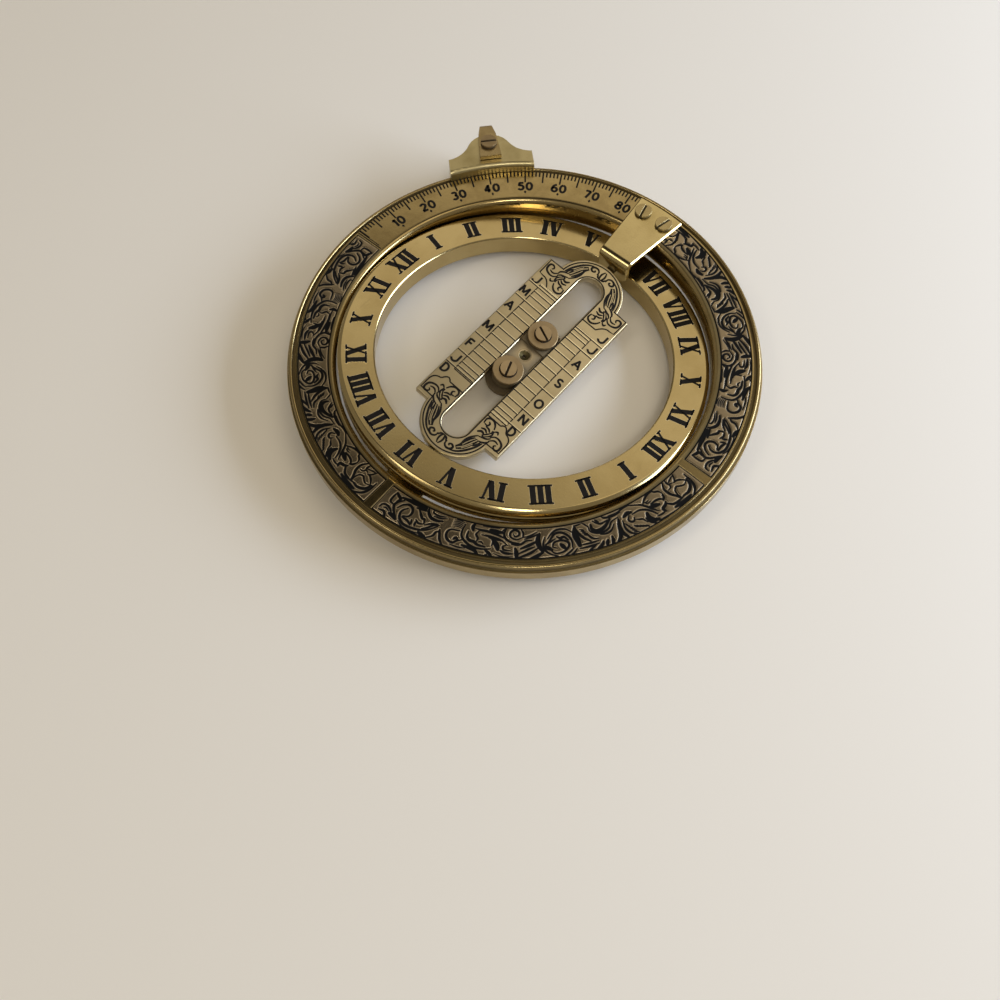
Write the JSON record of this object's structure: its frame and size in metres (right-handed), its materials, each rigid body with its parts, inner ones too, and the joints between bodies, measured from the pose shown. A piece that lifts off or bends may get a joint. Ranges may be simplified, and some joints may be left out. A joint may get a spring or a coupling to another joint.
{
  "type": "ring dial",
  "caption": "Folding universal ring sundial of brass: a meridian ring with a sliding hanger, an hour ring that opens inside it, and a turning bridge with a pinhole slider.",
  "frame": {"origin": "common centre of the rings, in the pinhole of the slider", "axes": "+Z out of the face that carries the latitude scale; +Y along the polar axis towards the bracket on that face; X is the noon axis, with noon at -X"},
  "size_m": [0.08, 0.08, 0.0113],
  "materials": {
    "brass": "polished",
    "bronze": "engraved, darkened ground",
    "pale_brass": "satin, silvered",
    "dull_brass": "satin"
  },
  "bodies": {
    "meridian": {"meridian_ring": "bronze", "noon_pivot_screw": "dull_brass", "midnight_pivot_screw": "dull_brass", "upper_pole_bracket": "brass", "lower_pole_bracket": "brass", "upper_bracket_screw_left": "brass", "upper_bracket_screw_right": "brass", "lower_bracket_screw_left": "brass", "lower_bracket_screw_right": "brass", "upper_bridge_pivot": "dull_brass", "lower_bridge_pivot": "dull_brass"},
    "hours": {"hour_ring": "brass"},
    "bridge": {"bridge_bar": "pale_brass"},
    "slider": {"slider_plate": "pale_brass", "slider_back_strip": "pale_brass", "slider_collar_upper": "dull_brass", "slider_collar_lower": "dull_brass", "slider_screw_upper": "dull_brass", "slider_screw_lower": "dull_brass"},
    "saddle": {"saddle_front_cheek": "brass", "saddle_back_cheek": "brass", "saddle_spacer": "brass"},
    "shackle": {"shackle_strap": "dull_brass", "shackle_screw": "dull_brass"}
  },
  "joints": [
    {"name": "hour_ring_open", "type": "hinge", "parent": "meridian", "child": "hours", "pos_m": [0, 0, 0], "axis": [-1, 0, 0], "range_deg": [-6, 84]},
    {"name": "bridge_turn", "type": "hinge", "parent": "meridian", "child": "bridge", "pos_m": [0, 0, 0], "axis": [0, 1, 0], "range_deg": [-101, 79]},
    {"name": "slider_slide", "type": "slide", "parent": "bridge", "child": "slider", "axis": [0, 1, 0], "range_m": [-0.01107, 0.01107]},
    {"name": "saddle_latitude", "type": "hinge", "parent": "meridian", "child": "saddle", "pos_m": [0, 0, 0], "axis": [0, 0, 1], "range_deg": [-49, 41]},
    {"name": "shackle_swing", "type": "hinge", "parent": "saddle", "child": "shackle", "pos_m": [-0.03245, 0.02821, 0], "axis": [0, 0, 1], "range_deg": [-60, 60]}
  ]
}
